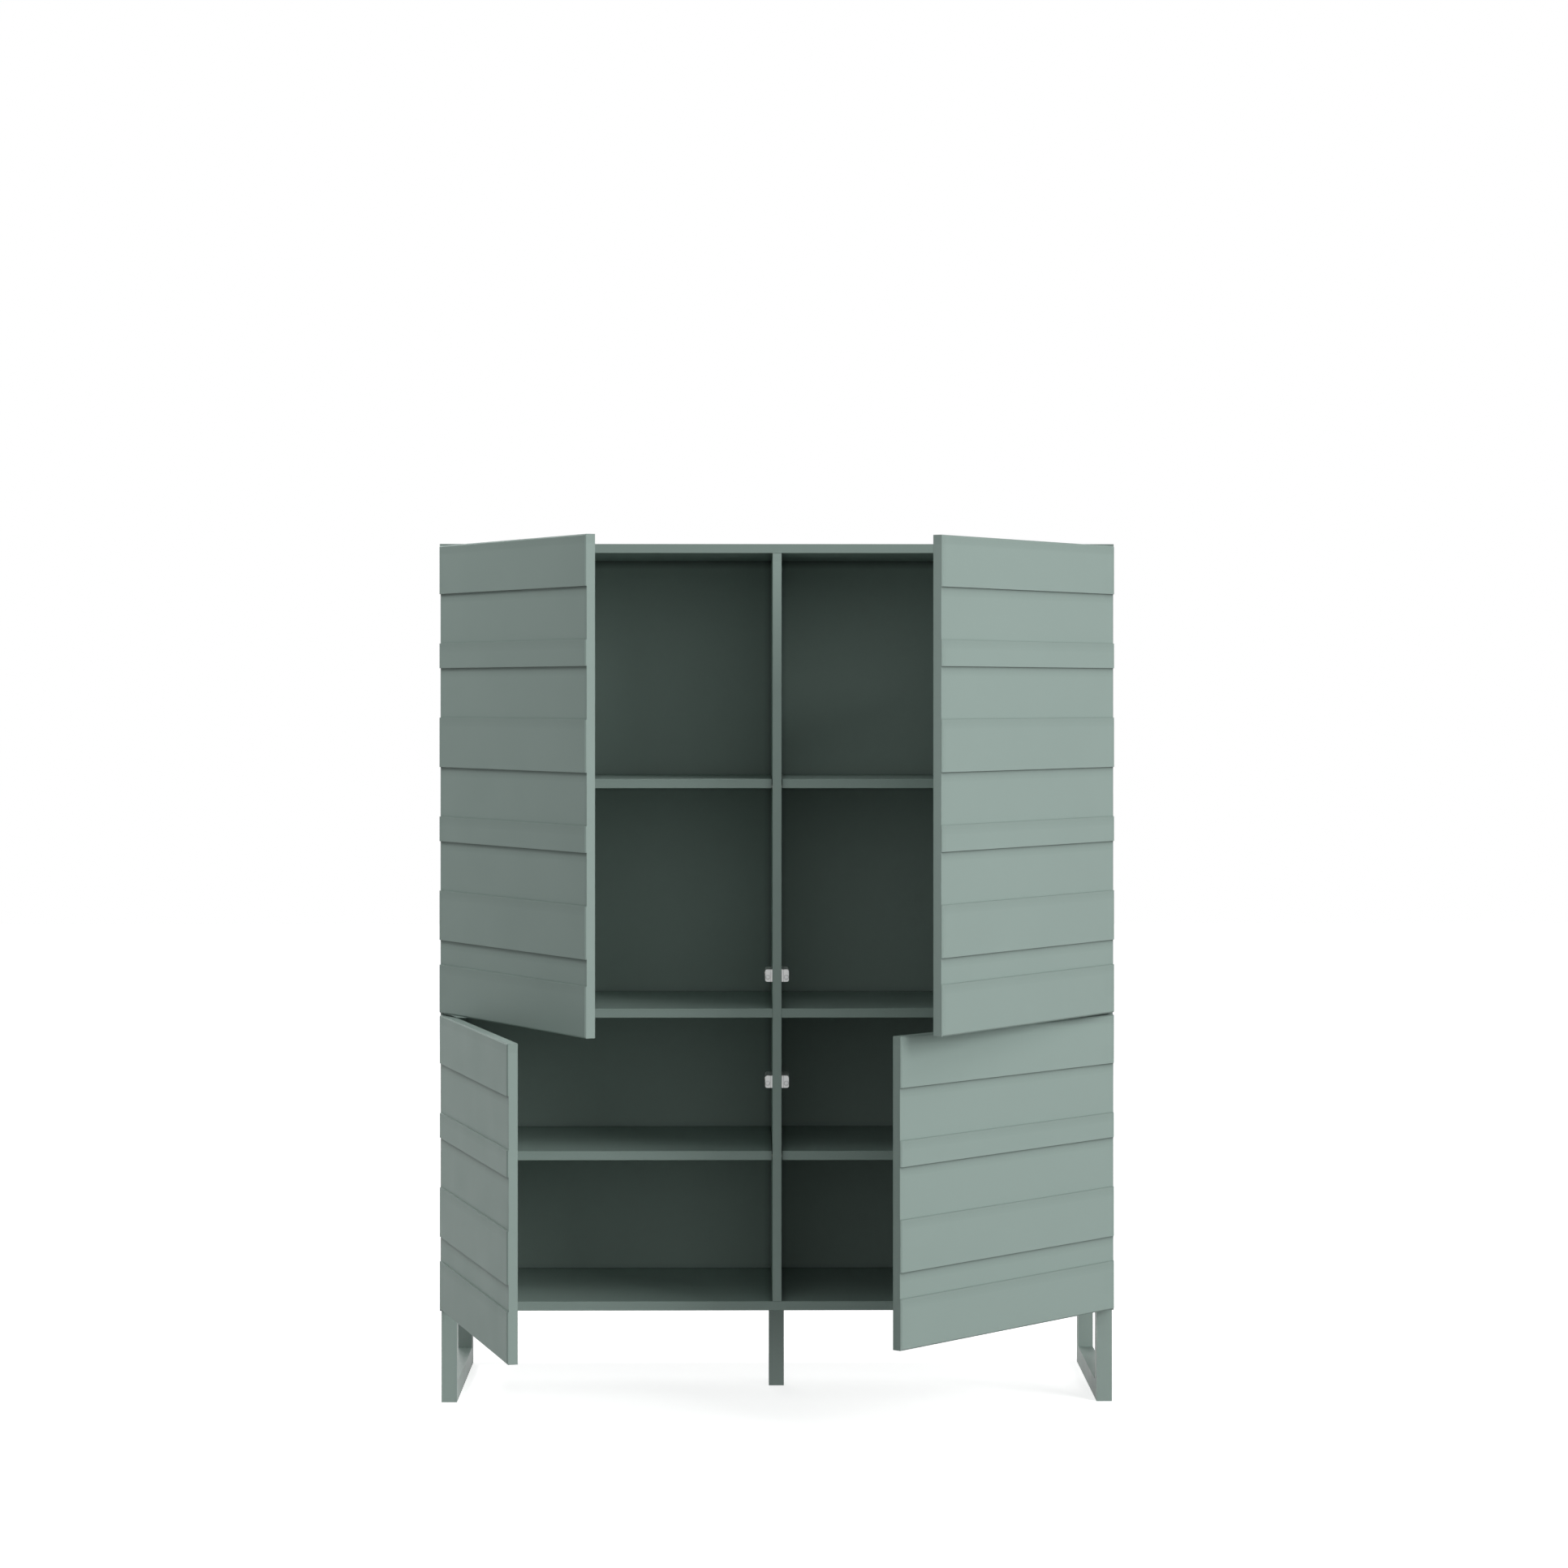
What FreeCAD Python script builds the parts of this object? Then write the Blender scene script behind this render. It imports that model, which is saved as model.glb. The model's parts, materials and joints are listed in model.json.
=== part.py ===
"""Four-door highboard on two sled leg frames and a centre support leg.

Millimetres. +X is to the right seen from the front, +Y to the back, +Z up. The origin is on the floor,
under the middle of the centre support leg. The doors stand open, each at its own angle.
"""
import FreeCAD, Part

import math
import os

from FreeCAD import Vector

# Carcass
carcass_width = 1180.0
carcass_depth = 408.0
carcass_height = 1342.0
board = 16.0
end_overhang = 1.5
lower_clear = 496.5
board_edge = 0.5

# Shelves
lower_shelf_clear = 246.4
upper_shelf_clear = 385.7
shelf_setback = 7.0
shelf_play = 1.0
pin_diameter = 5.0
pin_depth = 7.0
pin_reach = 8.0
pin_from_front = 50.0
pin_from_back = 50.0

# Back panel
back_thickness = 3.0
back_inset = 5.0
groove_depth = 6.0
groove_play = 0.15
back_play = 0.5

# Legs
leg_height = 160.0
leg_width = 27.0
leg_depth = 33.0
leg_wall = 2.0
leg_inset = 3.0
centre_leg_setback = 161.5
block_height = 20.0
block_play = 0.1
leg_bolt_diameter = 6.0
leg_bolt_head = 11.0
leg_bolt_head_height = 2.5
leg_bolt_grip = 15.0
bolt_play = 0.2

# Dowels
dowel_diameter = 8.0
dowel_depth = 11.0
dowel_end_depth = 19.0
dowel_play = 0.1
dowel_from_edge = 60.0
pin_play = 0.1
seat_gap = 0.05

# Doors
door_thickness = 18.0
door_end_reveal = 4.0
door_side_reveal = 2.0
door_gap = 4.0
centre_gap = 3.0
door_to_carcass = 2.5
band_depth = 3.0
door_edge = 2.2
upper_bands = ((2, True), (2, False), (1, True), (2, False), (2, True), (2, False),
               (1, True), (2, False), (2, True), (1, False), (2, True))
lower_bands = ((2, True), (2, False), (1, True), (2, False), (2, True), (1, False), (2, True))
upper_left_angle = 61.8
upper_right_angle = 56.2
lower_left_angle = 74.9
lower_right_angle = 48.1

# Hinges, in door terms: in from the door's outer edge, and back from its front face
pivot_in = 6.5
pivot_back = 8.5
hinge_from_end = 60.0
hinge_pin_diameter = 2.4
running_play = 0.06
cup_diameter = 35.0
cup_from_edge = 3.0
cup_depth = 13.5
cup_wall = 0.8
cup_play = 0.05
flange_thickness = 1.2
flange_reach = 30.0
flange_corner = 8.0
flange_side = 1.4
flange_trim = 1.0
wing_corner = 3.0
ear_radius = 2.2
eye_corner = 1.2
ear_thickness = 1.5
ear_play = 0.3
knuckle_height = 6.0
arm_foot_thickness = 3.2
arm_wall = 1.6
arm_from_pivot = 12.2
arm_height = 8.6
arm_width = 12.0
arm_length = 62.0
arm_bend = 3.0
plate_thickness = 4.6
plate_from_front = 20.0
plate_length = 44.0
plate_reach = 25.0
plate_hub_width = 8.0
plate_hub_height = 5.0

# Push latches
latch_width = 12.7
latch_height = 21.4
latch_length = 75.0
latch_back_wall = 3.0
latch_base = 3.2
latch_slot = 0.6
latch_slot_depth = 1.2
latch_corner = 3.6
latch_setback = 1.0
upper_latch_rise = 57.7
lower_latch_drop = 112.2
plunger_diameter = 7.3
plunger_length = 40.0
plunger_drop = 2.2
plunger_from_panel = 8.3
plunger_tip_edge = 0.6
crosshead_width = 6.0
crosshead_height = 12.0
crosshead_length = 4.0
crosshead_play = 0.1
plunger_out = 10.0
strike_diameter = 14.0
strike_thickness = 1.0
strike_gap = 0.3

overrun = 5.0
tolerance = 0.05
hidden_sides = 8
seen_sides = 24

# Worked-out levels and planes
front = -centre_leg_setback - leg_depth / 2
rear = front + carcass_depth
half_width = carcass_width / 2
side_out = half_width - end_overhang
side_in = side_out - board
partition_half = board / 2
bottom_low = leg_height
bottom_top = bottom_low + board
middle_low = bottom_top + lower_clear
middle_top = middle_low + board
top_top = leg_height + carcass_height
top_low = top_top - board
lower_shelf_low = bottom_top + lower_shelf_clear
upper_shelf_low = middle_top + upper_shelf_clear
back_front = rear - back_inset - back_thickness

split = (middle_low + middle_top) / 2
lower_door_low = bottom_low + door_end_reveal
lower_door_top = split - door_gap / 2
upper_door_low = split + door_gap / 2
upper_door_top = top_top - door_end_reveal
door_out = side_out - door_side_reveal
door_width = door_out - centre_gap / 2
door_front = front - door_to_carcass - door_thickness
door_back = front - door_to_carcass

pivot = Vector(-door_out + pivot_in, door_front + pivot_back, 0)

UP = Vector(0, 0, 1)
RIGHT = Vector(1, 0, 0)
BACK = Vector(0, 1, 0)


def block(x, y, z):
    """A box between pairs of limits, in either order."""
    low = Vector(min(x), min(y), min(z))
    size = Vector(max(x), max(y), max(z)) - low
    return Part.makeBox(size.x, size.y, size.z, low)


def rod(diameter, length, start, along):
    return Part.makeCylinder(diameter / 2, length, start, along)


def peg(diameter, length, start, along, sides):
    """A rod with flats in place of its round, for what is small, hidden or many times repeated."""
    side = UP if along.x else RIGHT
    other = along.cross(side)
    corners = []
    for step in range(sides + 1):
        turn = 2 * math.pi * step / sides
        corners.append(start + (side * math.cos(turn) + other * math.sin(turn)) * (diameter / 2))
    return Part.Face(Part.makePolygon(corners)).extrude(along * length)


def fuse(shapes):
    whole = shapes[0].multiFuse(shapes[1:]) if len(shapes) > 1 else shapes[0]
    return whole.removeSplitter()


def mirrored(shape):
    return shape.mirror(Vector(0, 0, 0), RIGHT)


def prism(points, low, high):
    """A polygon in plan, given as (x, y) pairs, raised from low to high."""
    ring = [Vector(x, y, low) for x, y in points]
    return Part.Face(Part.makePolygon(ring + ring[:1])).extrude(UP * (high - low))


def near(a, b):
    return abs(a - b) < tolerance


def edges_along(shape, direction):
    """The straight edges that run along one direction."""
    straight = [e for e in shape.Edges if len(e.Vertexes) == 2]
    return [e for e in straight if near(abs(e.tangentAt(e.FirstParameter).dot(direction)), 1)]


def eased(shape, face_y, direction):
    """A board with its long front edges broken."""
    long_edges = [e for e in edges_along(shape, direction) if near(e.CenterOfMass.y, face_y)]
    return shape.makeChamfer(board_edge, long_edges)


def chamfered_plate(x, y, z, direction, corner):
    """A plate with its four corners cut off."""
    plate = block(x, y, z)
    return plate.makeChamfer(corner, edges_along(plate, direction))


def export(name, solids):
    shape = solids[0] if len(solids) == 1 else Part.makeCompound(solids)
    shape.exportStep(os.path.join("parts", name + ".step"))


# Dowels, and the holes that hold them

upright_xs = (-side_out + board / 2, 0.0, side_out - board / 2)
dowel_ys = (front + dowel_from_edge, back_front - dowel_from_edge)


def upright_dowels():
    """Upright dowels between the uprights and the top and bottom panels: (start, length) pairs."""
    length = dowel_depth + dowel_end_depth
    found = []
    for x in upright_xs:
        for y in dowel_ys:
            found.append((Vector(x, y, bottom_top - dowel_depth), length))
            found.append((Vector(x, y, top_low - dowel_end_depth), length))
    return found


def level_dowels():
    """Level dowels at the ends of the middle shelves; the ones at the partition pass through it."""
    length = dowel_depth + dowel_end_depth
    through = board + 2 * dowel_end_depth
    found = []
    for y in dowel_ys:
        found.append((Vector(-through / 2, y, split), through))
        found.append((Vector(-side_in - dowel_depth, y, split), length))
        found.append((Vector(side_in - dowel_end_depth, y, split), length))
    return found


def dowel_rods(play):
    wide = dowel_diameter + 2 * play
    pegs = [peg(wide, length, start, UP, hidden_sides) for start, length in upright_dowels()]
    return pegs + [peg(wide, length, start, RIGHT, hidden_sides) for start, length in level_dowels()]


# Shelf pins

def pin_places():
    """(the panel face's x, the way the pin points out of it, y, z of the pin's axis)."""
    ys = (front + shelf_setback + pin_from_front, back_front - pin_from_back)
    for shelf_low in (lower_shelf_low, upper_shelf_low):
        z = shelf_low + pin_diameter / 2
        for y in ys:
            for face, way in ((-side_in, 1), (-partition_half, -1), (partition_half, 1), (side_in, -1)):
                yield face, way, y, z


def shelf_pins(play):
    wide = pin_diameter + 2 * play
    length = pin_depth + pin_reach
    pins = []
    for face, way, y, z in pin_places():
        pins.append(peg(wide, length, Vector(face - way * pin_depth, y, z), RIGHT * way, hidden_sides))
    return pins


def pin_notches():
    """Notches in the shelves' undersides that take the pins, each with a little room round its pin."""
    half = pin_diameter / 2 + pin_play
    notches = []
    for face, way, y, z in pin_places():
        x = (face - way * overrun, face + way * (pin_reach + shelf_play))
        notches.append(block(x, (y - half, y + half), (z - overrun, z + pin_diameter / 2 + seat_gap)))
    return notches


# Leg bolts, down through the bottom panel into the blocks in the leg tubes

leg_out = half_width - leg_inset
leg_in = leg_out - leg_width


def leg_bolt_places():
    """The bolts stand under the side panels and the partition, which cover their heads."""
    for y in (front + leg_depth / 2, rear - leg_depth / 2):
        for x in (min(upright_xs), max(upright_xs)):
            yield Vector(x, y, 0)
    yield Vector(0, 0, 0)


def bolt_shank(place, play):
    start = Vector(place.x, place.y, bottom_low - leg_bolt_grip)
    return peg(leg_bolt_diameter + 2 * play, leg_bolt_grip + board, start, UP, hidden_sides)


def bolt_head(place, play):
    start = Vector(place.x, place.y, bottom_top - leg_bolt_head_height)
    return peg(leg_bolt_head + 2 * play, leg_bolt_head_height, start, UP, hidden_sides)


def leg_bolts():
    return [fuse([bolt_shank(place, 0), bolt_head(place, 0)]) for place in leg_bolt_places()]


def leg_bolt_holes():
    holes = [bolt_shank(place, bolt_play) for place in leg_bolt_places()]
    return holes + [bolt_head(place, bolt_play) for place in leg_bolt_places()]


# Carcass boards

def back_groove(x, z):
    """The groove that holds a back panel, between limits that already count its depth."""
    return block(x, (back_front - groove_play, back_front + back_thickness + groove_play), z)


def back_grooves():
    groove_z = (bottom_top - groove_depth, top_low + groove_depth)
    left = back_groove((-side_in - groove_depth, -partition_half + groove_depth), groove_z)
    return [left, mirrored(left)]


def level_panel(low):
    panel = block((-half_width, half_width), (front, rear), (low, low + board))
    return eased(panel, front, RIGHT).cut(back_grooves() + dowel_rods(dowel_play))


def bottom_panel():
    return level_panel(bottom_low).cut(leg_bolt_holes())


def upright(x):
    panel = block(x, (front, rear), (bottom_top, top_low))
    holes = back_grooves() + dowel_rods(dowel_play) + shelf_pins(pin_play)
    return eased(panel, front, UP).cut(holes)


def left_side_panel():
    return upright((-side_out, -side_in))


def centre_partition():
    return upright((-partition_half, partition_half))


def middle_shelf_left():
    shelf = block((-side_in, -partition_half), (front, back_front - back_play), (middle_low, middle_top))
    return eased(shelf, front, RIGHT).cut(dowel_rods(dowel_play))


def adjustable_shelf_left(low):
    x = (-side_in + shelf_play, -partition_half - shelf_play)
    shelf = block(x, (front + shelf_setback, back_front - shelf_play), (low, low + board))
    return eased(shelf, front + shelf_setback, RIGHT).cut(pin_notches())


def back_panel_left():
    x = (-side_in - groove_depth + back_play, -partition_half + groove_depth - back_play)
    z = (bottom_top - groove_depth + back_play, top_low + groove_depth - back_play)
    return block(x, (back_front, back_front + back_thickness), z)


# Legs: welded rectangular tube, closed at the foot and open at the top

def leg_block(x, y):
    """The block that fills a leg's open top and takes the bolt."""
    inset = leg_wall + block_play
    inner_x = (min(x) + inset, max(x) - inset)
    inner_y = (min(y) + inset, max(y) - inset)
    return block(inner_x, inner_y, (leg_height - block_height, leg_height))


def left_leg_frame():
    """A front leg, a floor rail and a rear leg, mitred and welded into one U."""
    x = (-leg_out, -leg_in)
    outer = block(x, (front, rear), (0, leg_height))
    space_y = (front + leg_depth, rear - leg_depth)
    outer = outer.cut(block((-leg_out - overrun, -leg_in + overrun), space_y, (leg_depth, leg_height)))
    inner_x = (-leg_out + leg_wall, -leg_in - leg_wall)
    bores = [
        block(inner_x, (front + leg_wall, front + leg_depth - leg_wall), (leg_wall, leg_height)),
        block(inner_x, (rear - leg_depth + leg_wall, rear - leg_wall), (leg_wall, leg_height)),
        block(inner_x, (front + leg_wall, rear - leg_wall), (leg_wall, leg_depth - leg_wall)),
    ]
    return outer.cut(bores)


def centre_support_leg():
    x = (-leg_width / 2, leg_width / 2)
    y = (-leg_depth / 2, leg_depth / 2)
    outer = block(x, y, (0, leg_height))
    inner_x = (min(x) + leg_wall, max(x) - leg_wall)
    inner_y = (min(y) + leg_wall, max(y) - leg_wall)
    return outer.cut(block(inner_x, inner_y, (leg_wall, leg_height)))


def leg_insert_blocks():
    seats = []
    for side in (-1, 1):
        for y in ((front, front + leg_depth), (rear - leg_depth, rear)):
            seats.append(((side * leg_in, side * leg_out), y))
    seats.append(((-leg_width / 2, leg_width / 2), (-leg_depth / 2, leg_depth / 2)))
    return [leg_block(x, y).cut(leg_bolt_holes()) for x, y in seats]


# Doors, modelled closed at the left and then swung open; the right ones are mirrored

def band_edges(low, top, bands):
    """The levels between the bands, from the top down. The pattern runs on through the gaps."""
    pitch = (top - low + door_gap) / sum(count for count, _ in bands)
    level = top + door_gap / 2
    levels = []
    for count, raised in bands:
        levels.append((level, level - count * pitch, raised))
        level -= count * pitch
    return levels


def left_door(low, top, bands):
    """A board with wide recesses milled across its face and the front edges of its raised bands broken."""
    outer = -door_out
    inner = outer + door_width
    points = [(door_back, low)]
    for high_edge, low_edge, raised in reversed(band_edges(low, top, bands)):
        y = door_front + (0 if raised else band_depth)
        points.append((y, max(low_edge, low)))
        points.append((y, min(high_edge, top)))
    points.append((door_back, top))
    ring = [Vector(outer, y, z) for y, z in points]
    door = Part.Face(Part.makePolygon(ring + ring[:1])).extrude(RIGHT * (inner - outer))
    broken = []
    for edge in door.Edges:
        a, b = edge.Vertexes[0].Point, edge.Vertexes[1].Point
        on_face = near(a.y, door_front) and near(b.y, door_front)
        at_end = near(a.z, b.z) and (near(a.z, low) or near(a.z, top))
        if on_face and (near(a.x, b.x) or at_end):
            broken.append(edge)
    door = door.makeChamfer(door_edge, broken)
    cups = [cup_envelope(z, cup_play) for z in hinge_levels(low, top)]
    return door.cut(cups)


def hinge_levels(low, top):
    return (low + hinge_from_end, top - hinge_from_end)


# Concealed hinges, modelled closed at the left

cup_x = -door_out + cup_from_edge + cup_diameter / 2
cup_floor = door_back - cup_depth
ear_low = knuckle_height / 2 + ear_play


def cup_envelope(z, play):
    start = Vector(cup_x, cup_floor - play, z)
    return peg(cup_diameter + 2 * play, cup_depth + play + overrun, start, BACK, seen_sides)


def hinge_cup(z):
    """A pressed cup with a long flange, and inside it two ears that hold the pin."""
    shell = peg(cup_diameter, cup_depth, Vector(cup_x, cup_floor, z), BACK, seen_sides)
    flange_x = (-door_out + cup_from_edge - flange_trim, cup_x + cup_diameter / 2 + flange_side)
    flange_y = (door_back, door_back + flange_thickness)
    flange_z = (z - flange_reach, z + flange_reach)
    flange = chamfered_plate(flange_x, flange_y, flange_z, BACK, flange_corner)
    start = Vector(cup_x, cup_floor + cup_wall, z)
    hollow = rod(cup_diameter - 2 * cup_wall, cup_depth + overrun, start, BACK)
    ears = []
    for way in (-1, 1):
        ear_z = (z + way * ear_low, z + way * (ear_low + ear_thickness))
        ears.append(block((pivot.x - ear_radius, pivot.x + ear_radius),
                          (cup_floor + cup_wall / 2, pivot.y + ear_radius), ear_z))
    pin = rod(hinge_pin_diameter, 2 * ear_low, Vector(pivot.x, pivot.y, z - ear_low), UP)
    return fuse([fuse([shell, flange]).cut(hollow), pin] + ears)


def hinge_arm(z):
    """A channel that bends forward into the cup, clear of the cup's rim at every angle of the door."""
    near_x = pivot.x + arm_from_pivot
    far_x = near_x + arm_height
    low_y = pivot.y - ear_radius
    foot_back = low_y + arm_foot_thickness
    tail_y = front + arm_length
    half = arm_width / 2
    channel = prism([(near_x, low_y), (near_x + arm_bend, low_y), (far_x, low_y + arm_height),
                     (far_x, tail_y), (near_x, tail_y)], z - half, z + half)
    hollow_z = (z - half + arm_wall, z + half - arm_wall)
    hollow = block((near_x - overrun, far_x - arm_wall), (low_y + arm_height, tail_y + overrun), hollow_z)
    knuckle_z = (z - knuckle_height / 2, z + knuckle_height / 2)
    foot = block((pivot.x, near_x + arm_bend), (low_y, foot_back), knuckle_z)
    eye_x = (pivot.x - ear_radius, pivot.x + ear_radius)
    eye = chamfered_plate(eye_x, (low_y, pivot.y + ear_radius), knuckle_z, UP, eye_corner)
    start = Vector(pivot.x, pivot.y, min(knuckle_z))
    bore = rod(hinge_pin_diameter + 2 * running_play, knuckle_height, start, UP)
    return fuse([channel.cut(hollow), foot, eye]).cut(bore)


def hinge_plate(z):
    """The mounting plate on the side panel's inner face: screw wings, and a hub inside the arm."""
    x = (-side_in, -side_in + plate_thickness)
    start = front + plate_from_front
    half = plate_hub_width / 2
    hub = block((-side_in, max(x) + plate_hub_height), (start, start + plate_length), (z - half, z + half))
    middle = start + plate_length / 2
    wing_y = (middle - arm_width, middle + arm_width)
    wing = chamfered_plate(x, wing_y, (z - plate_reach, z + plate_reach), RIGHT, wing_corner)
    return fuse([hub, wing])


# Push latches on the partition, modelled at the left

latch_face = front + latch_setback
plunger_x = -partition_half - plunger_from_panel
plunger_tip = door_back + strike_thickness + strike_gap


def latch_levels():
    return {"upper": middle_top + upper_latch_rise, "lower": middle_low - lower_latch_drop}


def plunger_guide(z, start_y, length, play):
    """The plunger's round, also used with a little room for the bore that guides it."""
    start = Vector(plunger_x, start_y, z - plunger_drop)
    return peg(plunger_diameter + 2 * play, length, start, BACK, seen_sides)


def crosshead(z, y, play):
    half_x = crosshead_width / 2 + play
    half_z = crosshead_height / 2 + play
    middle = z - plunger_drop
    return block((plunger_x - half_x, plunger_x + half_x), y, (middle - half_z, middle + half_z))


def latch_housing(z):
    """A moulded body with a shadow groove above its base strip, bored and tracked for the plunger."""
    x = (-partition_half - latch_width, -partition_half)
    half = latch_height / 2
    body = block(x, (latch_face, latch_face + latch_length), (z - half, z + half))
    outer = [e for e in edges_along(body, BACK) if near(e.CenterOfMass.x, min(x))]
    body = body.makeFillet(latch_corner, outer)
    groove_x = (-partition_half - latch_base - latch_slot, -partition_half - latch_base)
    whole_y = (latch_face - overrun, latch_face + latch_length + overrun)
    grooves = [block(groove_x, (latch_face, latch_face + latch_slot_depth), (z - half, z + half))]
    for way in (-1, 1):
        grooves.append(block(groove_x, whole_y, (z + way * half, z + way * (half - latch_slot_depth))))
    inside_end = latch_face + latch_length - latch_back_wall
    bore = plunger_guide(z, latch_face - overrun, overrun + latch_length - latch_back_wall, running_play)
    stop = plunger_tip + plunger_length - crosshead_length - plunger_out - crosshead_play
    return body.cut(grooves + [bore, crosshead(z, (stop, inside_end), crosshead_play)])


def latch_plunger(z):
    """A round plunger whose crosshead keeps it in the housing; it reaches just past the carcass front."""
    shaft = plunger_guide(z, plunger_tip, plunger_length, 0)
    tip = [e for e in shaft.Edges if near(e.BoundBox.YMax, plunger_tip)]
    end = plunger_tip + plunger_length
    return fuse([shaft.makeChamfer(plunger_tip_edge, tip), crosshead(z, (end - crosshead_length, end), 0)])


def strike_plate(z):
    start = Vector(plunger_x, door_back, z - plunger_drop)
    return peg(strike_diameter, strike_thickness, start, BACK, seen_sides)


def swung(shape, angle):
    """A left-hand piece turned with its door, free edge to the front."""
    moved = shape.copy()
    moved.rotate(pivot, UP, -angle)
    return moved


levels = {
    "upper": (upper_door_low, upper_door_top, upper_bands),
    "lower": (lower_door_low, lower_door_top, lower_bands),
}
openings = {
    ("upper", "left"): upper_left_angle,
    ("upper", "right"): upper_right_angle,
    ("lower", "left"): lower_left_angle,
    ("lower", "right"): lower_right_angle,
}


def export_door(row, side):
    low, top, bands = levels[row]
    angle = openings[row, side]
    hinge_zs = hinge_levels(low, top)
    latch_z = latch_levels()[row]
    pieces = {
        "door": [swung(left_door(low, top, bands), angle)],
        "hinge_cups": [swung(hinge_cup(z), angle) for z in hinge_zs],
        "hinge_arms": [hinge_arm(z) for z in hinge_zs],
        "hinge_plates": [hinge_plate(z) for z in hinge_zs],
        "strike_plate": [swung(strike_plate(latch_z), angle)],
        "latch_housing": [latch_housing(latch_z)],
        "latch_plunger": [latch_plunger(latch_z)],
    }
    for name, solids in pieces.items():
        if side == "right":
            solids = [mirrored(solid) for solid in solids]
        export(f"{row}_{side}_{name}", solids)


os.makedirs("parts", exist_ok=True)

export("top_panel", [level_panel(top_low)])
export("bottom_panel", [bottom_panel()])
export("left_side_panel", [left_side_panel()])
export("right_side_panel", [mirrored(left_side_panel())])
export("centre_partition", [centre_partition()])
export("middle_shelf_left", [middle_shelf_left()])
export("middle_shelf_right", [mirrored(middle_shelf_left())])
for row_name, shelf_level in (("upper", upper_shelf_low), ("lower", lower_shelf_low)):
    export(f"{row_name}_left_shelf", [adjustable_shelf_left(shelf_level)])
    export(f"{row_name}_right_shelf", [mirrored(adjustable_shelf_left(shelf_level))])
export("back_panel_left", [back_panel_left()])
export("back_panel_right", [mirrored(back_panel_left())])
export("left_leg_frame", [left_leg_frame()])
export("right_leg_frame", [mirrored(left_leg_frame())])
export("centre_support_leg", [centre_support_leg()])
export("leg_insert_blocks", leg_insert_blocks())
export("leg_bolts", leg_bolts())
export("shelf_pins", shelf_pins(0))
export("wood_dowels", dowel_rods(0))
for row_name, side_name in openings:
    export_door(row_name, side_name)
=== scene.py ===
"""Looks of the four-door highboard: lacquer, powder coat, plated hinges, moulded latches, light and camera.

Metres, in the part's own frame: +X to the right seen from the front, +Y to the back, +Z up, the origin on
the floor under the middle of the centre support leg.
"""

import json
import math

import bmesh
import bpy
from mathutils import Matrix, Vector


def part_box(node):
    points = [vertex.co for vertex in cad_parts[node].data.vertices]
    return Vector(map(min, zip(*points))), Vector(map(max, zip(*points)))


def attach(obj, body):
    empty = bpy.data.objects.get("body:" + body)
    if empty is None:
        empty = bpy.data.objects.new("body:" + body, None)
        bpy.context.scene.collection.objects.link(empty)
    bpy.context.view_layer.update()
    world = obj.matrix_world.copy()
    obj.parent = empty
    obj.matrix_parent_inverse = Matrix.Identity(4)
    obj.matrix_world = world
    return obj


MM = 0.001

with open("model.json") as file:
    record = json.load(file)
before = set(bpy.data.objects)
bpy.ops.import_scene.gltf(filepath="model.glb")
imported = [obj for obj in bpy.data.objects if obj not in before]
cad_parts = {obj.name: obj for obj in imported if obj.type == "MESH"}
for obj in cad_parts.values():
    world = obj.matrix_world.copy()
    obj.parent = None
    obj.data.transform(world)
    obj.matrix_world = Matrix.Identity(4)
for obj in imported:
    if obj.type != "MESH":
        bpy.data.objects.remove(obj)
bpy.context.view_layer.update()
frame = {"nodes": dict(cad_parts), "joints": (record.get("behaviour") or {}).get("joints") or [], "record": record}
nodes = frame["nodes"]
slot_of = {part["node"]: part["material_slot"] for part in frame["record"]["subparts"]}
hinges = {joint["child"]: joint for joint in frame["joints"] if joint["type"] == "hinge"}
CORNERS = [(row, side) for row in ("upper", "lower") for side in ("left", "right")]


# Shader tools

# The middle range of a noise pattern, and where on it a tint is darkest and lightest
PATTERN_MIDDLE = (0.3, 0.7)
TINT_ENDS = (0.25, 0.75)


def srgb(red, green, blue):
    """A colour given as it reads on screen, 0 to 255, made linear."""
    def linear(value):
        value /= 255
        return value / 12.92 if value <= 0.04045 else ((value + 0.055) / 1.055) ** 2.4
    return (linear(red), linear(green), linear(blue), 1.0)


def new_material(name):
    material = bpy.data.materials.new(name)
    material.use_nodes = True
    tree = material.node_tree
    shader = tree.nodes["Principled BSDF"]
    place = tree.nodes.new("ShaderNodeTexCoord").outputs["Object"]
    return material, tree, shader, place


def number(tree, operation, first, second):
    """Works out a number from a first one and either a fixed or a second linked one."""
    node = tree.nodes.new("ShaderNodeMath")
    node.operation = operation
    tree.links.new(first, node.inputs[0])
    if isinstance(second, float):
        node.inputs[1].default_value = second
    else:
        tree.links.new(second, node.inputs[1])
    return node.outputs["Value"]


def vector_node(tree, operation, first, second=None):
    """A node that works on a linked vector and, where given, a fixed one."""
    node = tree.nodes.new("ShaderNodeVectorMath")
    node.operation = operation
    tree.links.new(first, node.inputs[0])
    if second is not None:
        node.inputs[1].default_value = second
    return node


def noise(tree, place, pattern):
    """A noise pattern, given as its scale and detail."""
    node = tree.nodes.new("ShaderNodeTexNoise")
    node.inputs["Scale"].default_value, node.inputs["Detail"].default_value = pattern
    tree.links.new(place, node.inputs["Vector"])
    return node.outputs["Fac"]


def spread(tree, value, target, source=PATTERN_MIDDLE):
    """Takes a value's source range to the target range."""
    node = tree.nodes.new("ShaderNodeMapRange")
    node.inputs["From Min"].default_value, node.inputs["From Max"].default_value = source
    node.inputs["To Min"].default_value, node.inputs["To Max"].default_value = target
    tree.links.new(value, node.inputs["Value"])
    return node.outputs["Result"]


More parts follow.
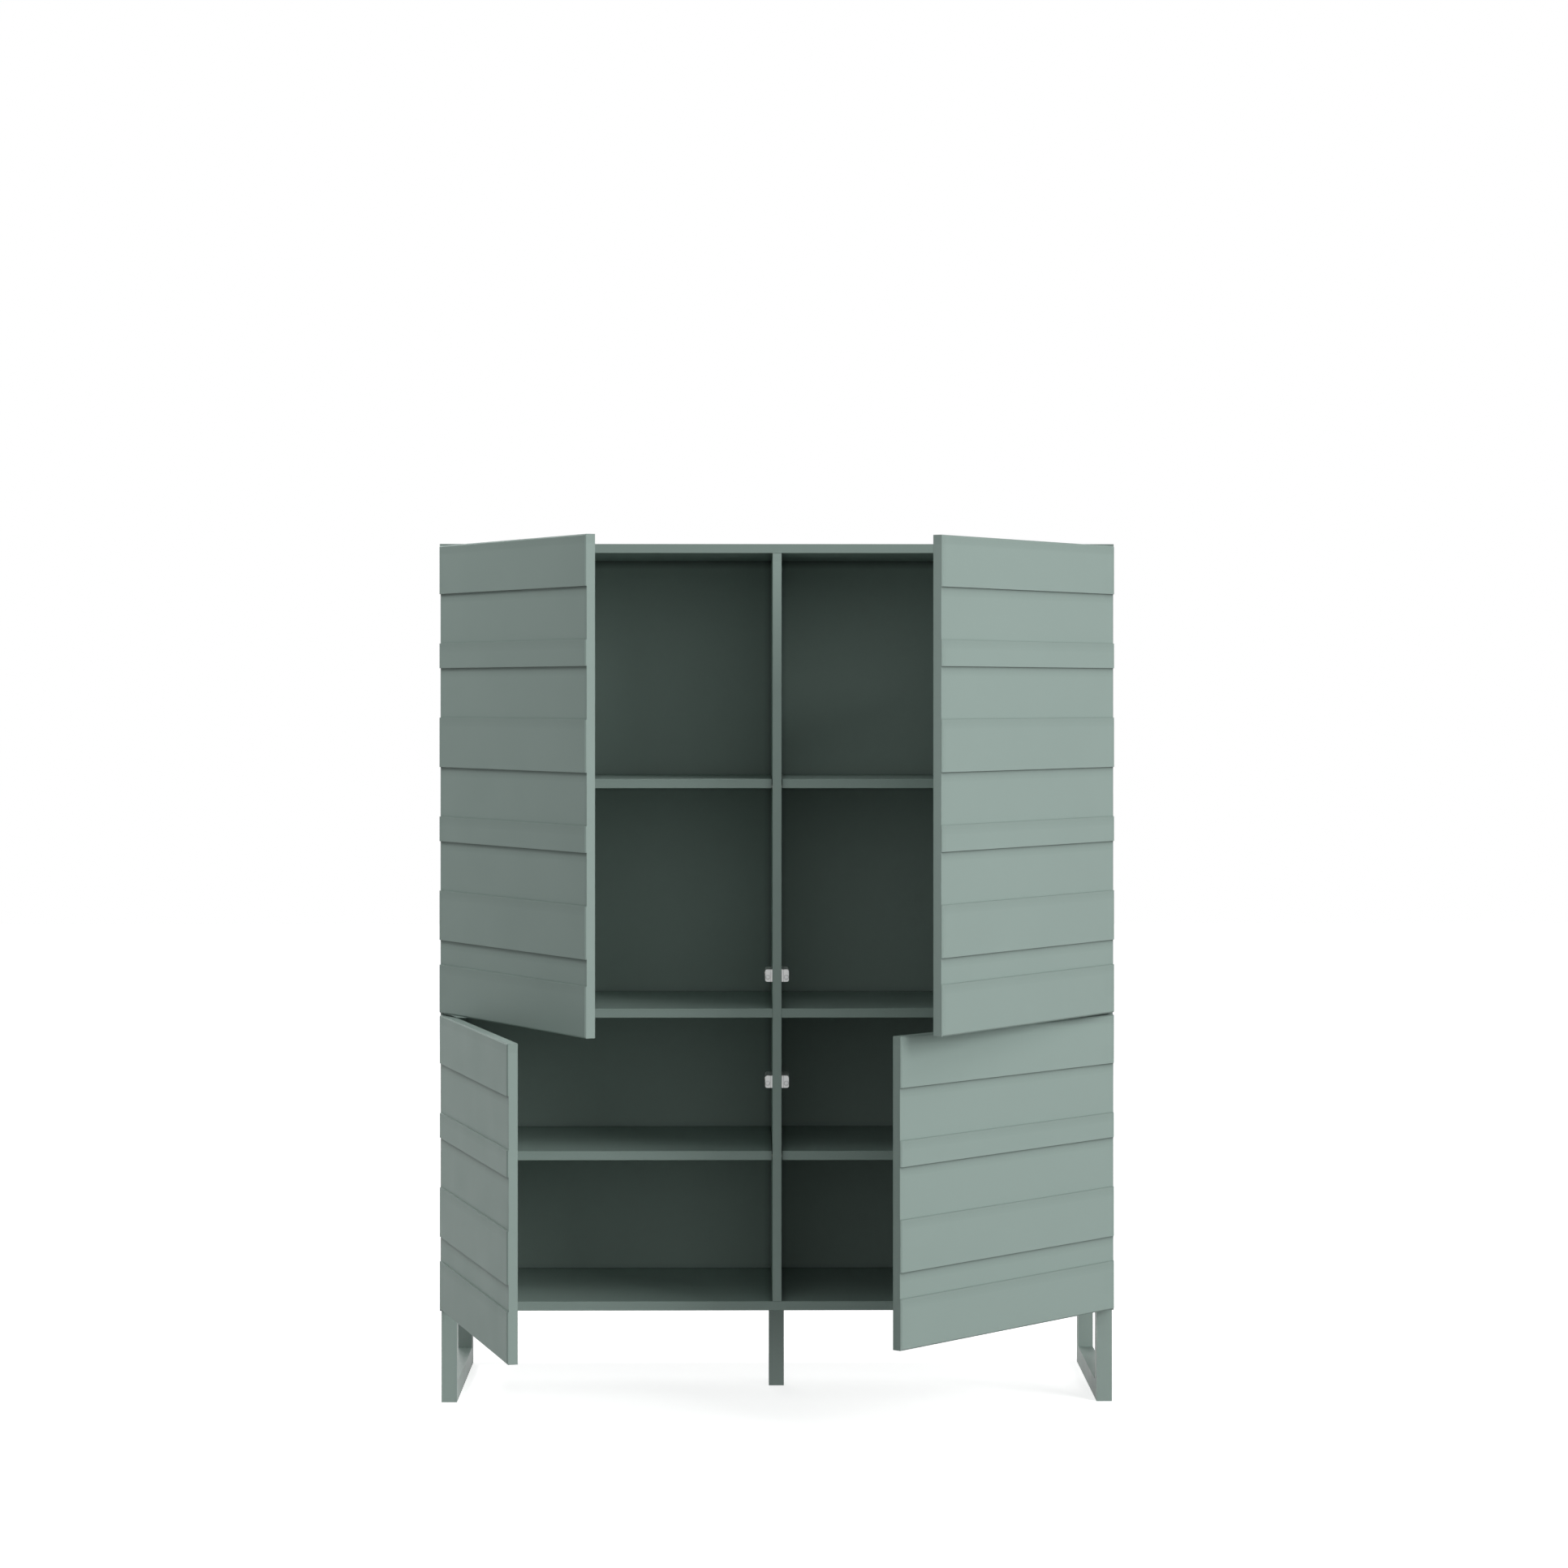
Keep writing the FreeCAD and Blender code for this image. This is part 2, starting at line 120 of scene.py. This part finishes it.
def tint(tree, value, colour, change):
    """The colour, a little darker and lighter along a pattern."""
    ramp = tree.nodes.new("ShaderNodeValToRGB")
    for stop, position, factor in zip(ramp.color_ramp.elements, TINT_ENDS, (1 - change, 1 + change)):
        stop.position = position
        stop.color = tuple(min(1.0, part * factor) for part in colour[:3]) + (1.0,)
    tree.links.new(value, ramp.inputs["Fac"])
    return ramp.outputs["Color"]


def bump(tree, height, relief, below=None):
    """Raises a pattern by a relief, given as its strength and height, over the normal below it."""
    node = tree.nodes.new("ShaderNodeBump")
    node.inputs["Strength"].default_value, node.inputs["Distance"].default_value = relief
    tree.links.new(height, node.inputs["Height"])
    if below is not None:
        tree.links.new(below, node.inputs["Normal"])
    return node.outputs["Normal"]


def stretched(tree, place, along):
    """Object coordinates on which a pattern runs long in height."""
    node = tree.nodes.new("ShaderNodeMapping")
    node.inputs["Scale"].default_value = (1.0, 1.0, along)
    tree.links.new(place, node.inputs["Vector"])
    return node.outputs["Vector"]


def mix(tree, factor, first, second):
    node = tree.nodes.new("ShaderNodeMixShader")
    tree.links.new(factor, node.inputs["Fac"])
    tree.links.new(first, node.inputs[1])
    tree.links.new(second, node.inputs[2])
    return node.outputs["Shader"]


# Shade painted into colours in corners and along steps, and edges shaded as if rounded

# Reach, depth, upward lean and samples of the shade painted into corners and along steps
SHADE_REACH = 16 * MM
GROOVE_SHADE_REACH = 3 * MM
SHADE_DEPTH = 0.65
SHADE_FROM_ABOVE = 0.8
SHADE_SAMPLES = 8
EDGE_RADIUS = 1.2 * MM
EDGE_SAMPLES = 4


def painted_corner_shade(tree, colour, reach, lit=None):
    """Paints shade into a colour in corners and along steps, more under a step than over it, but not where lit."""
    facing_out = tree.nodes.new("ShaderNodeNewGeometry").outputs["Normal"]
    upward = vector_node(tree, "ADD", facing_out, (0.0, 0.0, SHADE_FROM_ABOVE))
    near = tree.nodes.new("ShaderNodeAmbientOcclusion")
    near.samples = SHADE_SAMPLES
    near.inputs["Distance"].default_value = reach
    tree.links.new(upward.outputs["Vector"], near.inputs["Normal"])
    light = number(tree, "POWER", near.outputs["AO"], SHADE_DEPTH)
    if lit is not None:
        light = number(tree, "MAXIMUM", light, lit)
    shaded = vector_node(tree, "SCALE", colour)
    tree.links.new(light, shaded.inputs["Scale"])
    return shaded.outputs["Vector"]


def rounded_edges(tree):
    """The surface's direction, with sharp edges shaded as if slightly rounded."""
    node = tree.nodes.new("ShaderNodeBevel")
    node.samples = EDGE_SAMPLES
    node.inputs["Radius"].default_value = EDGE_RADIUS
    return node.outputs["Normal"]


def facing_up(tree, direction):
    """One where a surface faces up, nothing where it stands upright."""
    node = tree.nodes.new("ShaderNodeSeparateXYZ")
    tree.links.new(direction, node.inputs["Vector"])
    return node.outputs["Z"]


# Sage lacquer on boards and doors

LACQUER_MOTTLE = (5.0, 4.0)
LACQUER_MOTTLE_TINT = 0.012
LACQUER_HAZE = (11.0, 3.0)
LACQUER_HAZE_SPREAD = 0.03
ORANGE_PEEL = (420.0, 2.0)
PEEL_RELIEF = (0.10, 0.05 * MM)
LACQUER_DUST = (2600.0, 1.0)
DUST_RELIEF = (0.05, 0.02 * MM)
LACQUER_SHEEN = 0.12
DOOR_ROUGHNESS = 0.58
BOARD_ROUGHNESS = 0.62
SHADED_LACQUER_ROUGHNESS = 0.64


def satin_lacquer(name, colour, roughness, bright_ledges=False):
    """Sprayed lacquer: a very slight mottle in colour and gloss over a fine orange peel, with shade painted into
    corners and along steps.
    """
    material, tree, shader, place = new_material(name)
    rounded = rounded_edges(tree)
    # Faces turned up, such as the ledges of the bands, are spared the painted shade where bright_ledges is set
    lit = facing_up(tree, rounded) if bright_ledges else None
    mottled = tint(tree, noise(tree, place, LACQUER_MOTTLE), colour, LACQUER_MOTTLE_TINT)
    # Painted shade: the mottled colour darkened in corners and under steps
    tree.links.new(painted_corner_shade(tree, mottled, SHADE_REACH, lit), shader.inputs["Base Color"])
    gloss = (roughness - LACQUER_HAZE_SPREAD, roughness + LACQUER_HAZE_SPREAD)
    tree.links.new(spread(tree, noise(tree, place, LACQUER_HAZE), gloss), shader.inputs["Roughness"])
    peel = bump(tree, noise(tree, place, ORANGE_PEEL), PEEL_RELIEF, rounded)
    dust = bump(tree, noise(tree, place, LACQUER_DUST), DUST_RELIEF, peel)
    tree.links.new(dust, shader.inputs["Normal"])
    shader.inputs["Specular IOR Level"].default_value = LACQUER_SHEEN
    return material


# Powder coat on the legs

POWDER_MOTTLE = (18.0, 3.0)
POWDER_TINT = 0.015
POWDER_ROUGHNESS = (0.42, 0.5)
POWDER_GRAIN = (1500.0, 2.0)
POWDER_RELIEF = (0.16, 0.05 * MM)


def powder_coat(name, colour):
    """Baked powder on steel tube, with a finer and tighter grain than the lacquer's."""
    material, tree, shader, place = new_material(name)
    mottle = noise(tree, place, POWDER_MOTTLE)
    tree.links.new(tint(tree, mottle, colour, POWDER_TINT), shader.inputs["Base Color"])
    tree.links.new(spread(tree, mottle, POWDER_ROUGHNESS), shader.inputs["Roughness"])
    tree.links.new(bump(tree, noise(tree, place, POWDER_GRAIN), POWDER_RELIEF), shader.inputs["Normal"])
    return material


# Nickel on hinges, strike plates and screws

DRAWING_MARKS = (2400.0, 2.0)
MARKS_ALONG = 0.06
MARKS_RELIEF = (0.08, 0.03 * MM)
PLATE_CLOUD = (90.0, 3.0)
PLATE_TINT = 0.03
PLATE_ROUGHNESS = (0.2, 0.34)


def nickel_plate(name, colour):
    """Bright nickel over pressed steel, with faint drawing marks along the height."""
    material, tree, shader, place = new_material(name)
    marks = noise(tree, stretched(tree, place, MARKS_ALONG), DRAWING_MARKS)
    cloud = noise(tree, place, PLATE_CLOUD)
    tree.links.new(tint(tree, cloud, colour, PLATE_TINT), shader.inputs["Base Color"])
    tree.links.new(spread(tree, marks, PLATE_ROUGHNESS), shader.inputs["Roughness"])
    tree.links.new(bump(tree, marks, MARKS_RELIEF), shader.inputs["Normal"])
    shader.inputs["Metallic"].default_value = 1.0
    return material


# White nylon of the latches

NYLON_CLOUD = (60.0, 3.0)
NYLON_TINT = 0.02
NYLON_GRAIN = (3200.0, 2.0)
NYLON_ROUGHNESS = (0.3, 0.4)
NYLON_RELIEF = (0.12, 0.04 * MM)
NYLON_INDEX = 1.9
NYLON_SKIN_ROUGHNESS = 0.3


def moulded_nylon(name, colour):
    """White nylon from a polished mould, with a fine grain left in its gloss and shade painted into its grooves.
    """
    material, tree, shader, place = new_material(name)
    clouded = tint(tree, noise(tree, place, NYLON_CLOUD), colour, NYLON_TINT)
    # Painted shade: the colour darkened in the latch's grooves
    tree.links.new(painted_corner_shade(tree, clouded, GROOVE_SHADE_REACH), shader.inputs["Base Color"])
    grain = noise(tree, place, NYLON_GRAIN)
    tree.links.new(spread(tree, grain, NYLON_ROUGHNESS), shader.inputs["Roughness"])
    tree.links.new(bump(tree, grain, NYLON_RELIEF), shader.inputs["Normal"])
    shader.inputs["IOR"].default_value = NYLON_INDEX
    shader.inputs["Coat Weight"].default_value = 1.0
    shader.inputs["Coat Roughness"].default_value = NYLON_SKIN_ROUGHNESS
    shader.inputs["Coat IOR"].default_value = NYLON_INDEX
    return material


# Beech of the dowels

WOOD_GRAIN = (700.0, 5.0)
GRAIN_ALONG = 0.08
WOOD_TINT = 0.14
WOOD_ROUGHNESS = (0.55, 0.7)
WOOD_RELIEF = (0.2, 0.1 * MM)


def beech(name, colour):
    """Turned beech with a fine grain that runs long in height."""
    material, tree, shader, place = new_material(name)
    grain = noise(tree, stretched(tree, place, GRAIN_ALONG), WOOD_GRAIN)
    tree.links.new(tint(tree, grain, colour, WOOD_TINT), shader.inputs["Base Color"])
    tree.links.new(spread(tree, grain, WOOD_ROUGHNESS), shader.inputs["Roughness"])
    tree.links.new(bump(tree, grain, WOOD_RELIEF), shader.inputs["Normal"])
    return material


# Which piece has which finish

SAGE = srgb(151, 168, 162)
# Painted shade: the same sage lacquer made darker for the back panels and the top panel
SHADED_SAGE = srgb(138, 154, 148)
LEG_SAGE = srgb(139, 155, 149)
NICKEL = srgb(196, 195, 190)
HOUSING_WHITE = srgb(236, 238, 236)
PLUNGER_WHITE = srgb(226, 229, 228)
BEECH = srgb(205, 170, 126)

door_lacquer = satin_lacquer("door_lacquer", SAGE, DOOR_ROUGHNESS, bright_ledges=True)
board_lacquer = satin_lacquer("board_lacquer", SAGE, BOARD_ROUGHNESS)
shaded_lacquer = satin_lacquer("shaded_lacquer", SHADED_SAGE, SHADED_LACQUER_ROUGHNESS)
leg_coat = powder_coat("leg_powder_coat", LEG_SAGE)
nickel = nickel_plate("nickel_plate", NICKEL)
housing_nylon = moulded_nylon("latch_plastic", HOUSING_WHITE)
plunger_nylon = moulded_nylon("plunger_plastic", PLUNGER_WHITE)
dowel_wood = beech("dowel_beech", BEECH)

finish_of_slot = {
    "lacquered_board": board_lacquer,
    "painted_tube": leg_coat,
    "plated_steel": nickel,
    "moulded_plastic": housing_nylon,
    "beech_dowel": dowel_wood,
}


def finish_of(node):
    if node.endswith("_door"):
        return door_lacquer
    # The back panels and the top panel take the darker copy of the sage lacquer, as painted shade
    if node.startswith("back_panel") or node == "top_panel":
        return shaded_lacquer
    if node.endswith("_latch_plunger"):
        return plunger_nylon
    return finish_of_slot[slot_of[node]]


def dress(obj, material):
    obj.data.materials.clear()
    obj.data.materials.append(material)


for node, obj in nodes.items():
    dress(obj, finish_of(node))


def new_object(name, mesh, material):
    """Makes a finished bmesh an object of the scene."""
    data = bpy.data.meshes.new(name)
    mesh.to_mesh(data)
    mesh.free()
    obj = bpy.data.objects.new(name, data)
    bpy.context.scene.collection.objects.link(obj)
    dress(obj, material)
    return obj


# Screws

SCREW_HEAD = 7.0 * MM
SMALL_SCREW_HEAD = 5.6 * MM
SCREW_RISE = 0.9 * MM
SCREW_RIM = 0.35 * MM
SCREW_SIDES = 24
CROSS_LENGTH = 3.8 * MM
CROSS_WIDTH = 0.9 * MM
CROSS_DEPTH = 0.7 * MM
CROSS_ARMS = 4

# Where the screws sit on the hinge cups, mounting plates, arms and latches
DOOR_SIDE_REVEAL = 2.0 * MM
DOOR_TO_CARCASS = 2.5 * MM
CUP_SCREW_FROM_EDGE = 27.0 * MM
CUP_SCREW_FROM_END = 8.0 * MM
CUP_FLANGE_REACH = 30.0 * MM
CUP_FLANGE_THICKNESS = 1.2 * MM
PLATE_THICKNESS = 4.6 * MM
PLATE_REACH = 25.0 * MM
PLATE_SCREW_FROM_END = 6.0 * MM
ARM_HALF_HEIGHT = 6.0 * MM
ARM_SCREWS_FROM_TAIL = (9.0 * MM, 30.0 * MM)
LATCH_SCREW_FROM_BACK = 9.0 * MM


def extruded(part, edges):
    """Extrudes edges where they are and gives the new corners."""
    grown = bmesh.ops.extrude_edge_only(part, edges=edges)
    return [v for v in grown["geom"] if isinstance(v, bmesh.types.BMVert)]


def edges_among(part, corners):
    return [edge for edge in part.edges if all(v in corners for v in edge.verts)]


def cross_outline(part, height):
    """The edges round a cross recess, in order."""
    arm, half = CROSS_LENGTH / 2, CROSS_WIDTH / 2
    corners = []
    for quarter in range(CROSS_ARMS):
        turn = Matrix.Rotation(2 * math.pi * quarter / CROSS_ARMS, 3, "Z")
        for x, y in ((arm, -half), (arm, half), (half, half)):
            corners.append(part.verts.new(turn @ Vector((x, y, height))))
    return [part.edges.new(pair) for pair in zip(corners, corners[1:] + corners[:1])]


def screw_head(mesh, place, head):
    """Adds a low pan head with a cross recess, its underside at place's origin, rising along its Z."""
    part = bmesh.new()
    bmesh.ops.create_circle(part, radius=head / 2, segments=SCREW_SIDES, cap_ends=False)
    rim = list(part.edges)
    upper = extruded(part, rim)
    bmesh.ops.translate(part, verts=upper, vec=(0, 0, SCREW_RISE - SCREW_RIM))
    crown = extruded(part, edges_among(part, upper))
    inset = 1 - SCREW_RIM / (head / 2)
    bmesh.ops.scale(part, verts=crown, vec=(inset, inset, 1))
    bmesh.ops.translate(part, verts=crown, vec=(0, 0, SCREW_RIM))
    crown_edges = edges_among(part, crown)
    cross_edges = cross_outline(part, SCREW_RISE)
    bmesh.ops.triangle_fill(part, use_beauty=True, edges=crown_edges + cross_edges)
    low = extruded(part, cross_edges)
    bmesh.ops.translate(part, verts=low, vec=(0, 0, -CROSS_DEPTH))
    bmesh.ops.triangle_fill(part, use_beauty=True, edges=edges_among(part, low))
    bmesh.ops.triangle_fill(part, use_beauty=True, edges=rim)
    bmesh.ops.recalc_face_normals(part, faces=part.faces)
    bmesh.ops.transform(part, matrix=place, verts=part.verts)
    scratch = bpy.data.meshes.new("scratch")
    part.to_mesh(scratch)
    part.free()
    mesh.from_mesh(scratch)
    bpy.data.meshes.remove(scratch)


def screws(name, body, places, head):
    """One object with a screw head at each place, riding on a body."""
    mesh = bmesh.new()
    for place in places:
        screw_head(mesh, place, head)
    obj = new_object(name, mesh, nickel)
    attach(obj, body)


def facing(origin, outward):
    """A place at origin whose Z runs along outward."""
    turn = Vector(outward).to_track_quat("Z", "X").to_matrix().to_4x4()
    return Matrix.Translation(Vector(origin)) @ turn


def door_turn(row, side):
    """Takes a point on the closed door to its place on the open door: shut is the hinge's low limit."""
    hinge = hinges[f"{row}_{side}_door"]
    pin = Vector(hinge["pos_m"])
    shut, _ = hinge["range_deg"]
    turn = Matrix.Rotation(math.radians(-shut), 4, Vector(hinge["axis"]))
    return Matrix.Translation(pin) @ turn @ Matrix.Translation(-pin)


def cup_screws(row, side):
    """Two screws through each cup's flange into the door."""
    low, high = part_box(f"{row}_{side}_hinge_cups")
    panel_low, panel_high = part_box(f"{side}_side_panel")
    back = panel_low.y - DOOR_TO_CARCASS + CUP_FLANGE_THICKNESS
    from_side = DOOR_SIDE_REVEAL + CUP_SCREW_FROM_EDGE
    x = panel_low.x + from_side if side == "left" else panel_high.x - from_side
    turn = door_turn(row, side)
    places = []
    for centre in (low.z + CUP_FLANGE_REACH, high.z - CUP_FLANGE_REACH):
        for way in (-1, 1):
            z = centre + way * (CUP_FLANGE_REACH - CUP_SCREW_FROM_END)
            places.append(turn @ facing((x, back, z), (0, 1, 0)))
    screws(f"{row}_{side}_cup_screws", f"{row}_{side}_door", places, SCREW_HEAD)


def plate_screws(row, side):
    """Two screws through each mounting plate's wings into the side panel."""
    low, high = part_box(f"{row}_{side}_hinge_plates")
    inward = 1 if side == "left" else -1
    face = low.x + PLATE_THICKNESS if side == "left" else high.x - PLATE_THICKNESS
    middle = (low.y + high.y) / 2
    places = []
    for centre in (low.z + PLATE_REACH, high.z - PLATE_REACH):
        for way in (-1, 1):
            z = centre + way * (PLATE_REACH - PLATE_SCREW_FROM_END)
            places.append(facing((face, middle, z), (inward, 0, 0)))
    screws(f"{row}_{side}_plate_screws", "carcass", places, SCREW_HEAD)


def arm_screws(row, side):
    """The fixing screw and the adjusting screw in the back of each arm."""
    low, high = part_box(f"{row}_{side}_hinge_arms")
    inward = 1 if side == "left" else -1
    face = high.x if side == "left" else low.x
    places = []
    for z in (low.z + ARM_HALF_HEIGHT, high.z - ARM_HALF_HEIGHT):
        for from_tail in ARM_SCREWS_FROM_TAIL:
            places.append(facing((face, high.y - from_tail, z), (inward, 0, 0)))
    screws(f"{row}_{side}_arm_screws", "carcass", places, SMALL_SCREW_HEAD)


def latch_screw(row, side):
    """The screw through the back end of each latch into the partition."""
    low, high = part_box(f"{row}_{side}_latch_housing")
    outward = -1 if side == "left" else 1
    face = low.x if side == "left" else high.x
    origin = (face, high.y - LATCH_SCREW_FROM_BACK, (low.z + high.z) / 2)
    screws(f"{row}_{side}_latch_screw", "carcass", [facing(origin, (outward, 0, 0))], SMALL_SCREW_HEAD)


for row, side in CORNERS:
    cup_screws(row, side)
    plate_screws(row, side)
    arm_screws(row, side)
    latch_screw(row, side)


# Floor and backdrop, white to the eye but weak as lights

PURE_WHITE = (1.0, 1.0, 1.0, 1.0)
FLOOR_REACH = 14.0
PAPER_WHITE = (0.82, 0.82, 0.82)
PAPER_FIBRE = (40.0, 3.0)
PAPER_TINT = 0.01
PAPER_ROUGHNESS = 0.9
FLOOR_BOUNCE = (0.5, 0.5, 0.5, 1.0)

# The floor's own glow, from beside the piece to where its shadow has ended
FLOOR_GLOW = (0.76, 1.0)
SHADOW_FADES = (1.0, 3.0)

# The backdrop's glow straight ahead of the doors, from the cosine where it starts, and the dim sky round it
FRONT_WAY = (0.0, -1.0, 0.0)
SKY_TO_FRONT = (0.04, 1.35)
FRONT_GLOW_EDGE = (0.7, 1.0)


def seen_directly(tree):
    """One for rays from the camera, from glossy reflections and through clear pieces."""
    path = tree.nodes.new("ShaderNodeLightPath")
    seen = path.outputs["Is Camera Ray"]
    for ray in ("Is Glossy Ray", "Is Transmission Ray"):
        seen = number(tree, "MAXIMUM", seen, path.outputs[ray])
    return seen


def white_floor():
    """Studio paper that takes a faint shadow beside the piece and is pure white away from it."""
    material, tree, shader, place = new_material("studio_floor")
    fibre = noise(tree, place, PAPER_FIBRE)
    tree.links.new(tint(tree, fibre, PAPER_WHITE, PAPER_TINT), shader.inputs["Base Color"])
    shader.inputs["Roughness"].default_value = PAPER_ROUGHNESS
    shader.inputs["Specular IOR Level"].default_value = 0.0
    away = vector_node(tree, "LENGTH", place).outputs["Value"]
    glow = tree.nodes.new("ShaderNodeEmission")
    tree.links.new(spread(tree, away, FLOOR_GLOW, SHADOW_FADES), glow.inputs["Strength"])
    paper = tree.nodes.new("ShaderNodeAddShader")
    tree.links.new(shader.outputs["BSDF"], paper.inputs[0])
    tree.links.new(glow.outputs["Emission"], paper.inputs[1])
    dull = tree.nodes.new("ShaderNodeBsdfDiffuse")
    dull.inputs["Color"].default_value = FLOOR_BOUNCE
    shown = mix(tree, seen_directly(tree), dull.outputs["BSDF"], paper.outputs["Shader"])
    tree.links.new(shown, tree.nodes["Material Output"].inputs["Surface"])
    return material


def floor():
    mesh = bmesh.new()
    bmesh.ops.create_grid(mesh, x_segments=1, y_segments=1, size=FLOOR_REACH)
    new_object("floor", mesh, white_floor())


def backdrop():
    """White behind the piece, while its light is a dim sky with a glow from the front."""
    world = bpy.data.worlds.new("studio")
    world.use_nodes = True
    tree = world.node_tree
    ambient = tree.nodes["Background"]
    ambient.inputs["Color"].default_value = PURE_WHITE
    outward = tree.nodes.new("ShaderNodeTexCoord").outputs["Generated"]
    ahead = vector_node(tree, "DOT_PRODUCT", outward, FRONT_WAY).outputs["Value"]
    tree.links.new(spread(tree, ahead, SKY_TO_FRONT, FRONT_GLOW_EDGE), ambient.inputs["Strength"])
    white = tree.nodes.new("ShaderNodeBackground")
    white.inputs["Color"].default_value = PURE_WHITE
    shown = mix(tree, seen_directly(tree), ambient.outputs["Background"], white.outputs["Background"])
    tree.links.new(shown, tree.nodes["World Output"].inputs["Surface"])
    bpy.context.scene.world = world


# Lamps: the place, the side of the square and the watts of each, all turned to the middle of the piece

AIM = Vector((0.0, 0.0, 0.85))
LAMPS = {
    "key_low": ((5.94, -5.94, 3.26), 3.9, 372.0),
    "key_high": ((4.46, -4.46, 7.37), 3.9, 140.0),
    "fill": ((-2.3, 0.0, 3.67), 1.2, 46.0),
    "top": ((0.0, -2.5, 6.0), 4.0, 18.0),
    "rim": ((-1.5, 5.5, 3.5), 3.0, 150.0),
}


def soft_light(name, place, size, power):
    lamp = bpy.data.lights.new(name, "AREA")
    lamp.shape = "SQUARE"
    lamp.size = size
    lamp.energy = power
    obj = bpy.data.objects.new(name, lamp)
    obj.location = place
    obj.rotation_euler = (AIM - Vector(place)).to_track_quat("-Z", "Y").to_euler()
    bpy.context.scene.collection.objects.link(obj)


# Camera, fitted to the photograph: the first three values are in its pixels, the turn is in degrees

IMAGE_SIDE = 1932.0
FOCAL_PIXELS = 4773.5
HORIZON_ROW = 856.9
SENSOR = 36.0
CAMERA_X = -0.053
CAMERA_HEIGHT = 1.2368
CAMERA_FROM_FRONT = 6.7833
CAMERA_TURN = 0.551
CAMERA_SIGHT = 60.0


def camera():
    data = bpy.data.cameras.new("camera")
    data.sensor_width = SENSOR
    data.lens = FOCAL_PIXELS / IMAGE_SIDE * SENSOR
    data.shift_y = (HORIZON_ROW - IMAGE_SIDE / 2) / IMAGE_SIDE
    data.clip_end = CAMERA_SIGHT
    obj = bpy.data.objects.new("camera", data)
    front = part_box("left_side_panel")[0].y
    obj.location = (CAMERA_X, front - CAMERA_FROM_FRONT, CAMERA_HEIGHT)
    obj.rotation_euler = (math.radians(90), 0, math.radians(-CAMERA_TURN))
    bpy.context.scene.collection.objects.link(obj)
    bpy.context.scene.camera = obj


floor()
for name, (place, size, power) in LAMPS.items():
    soft_light(name, place, size, power)
backdrop()
camera()
bpy.context.scene.view_settings.view_transform = "Standard"
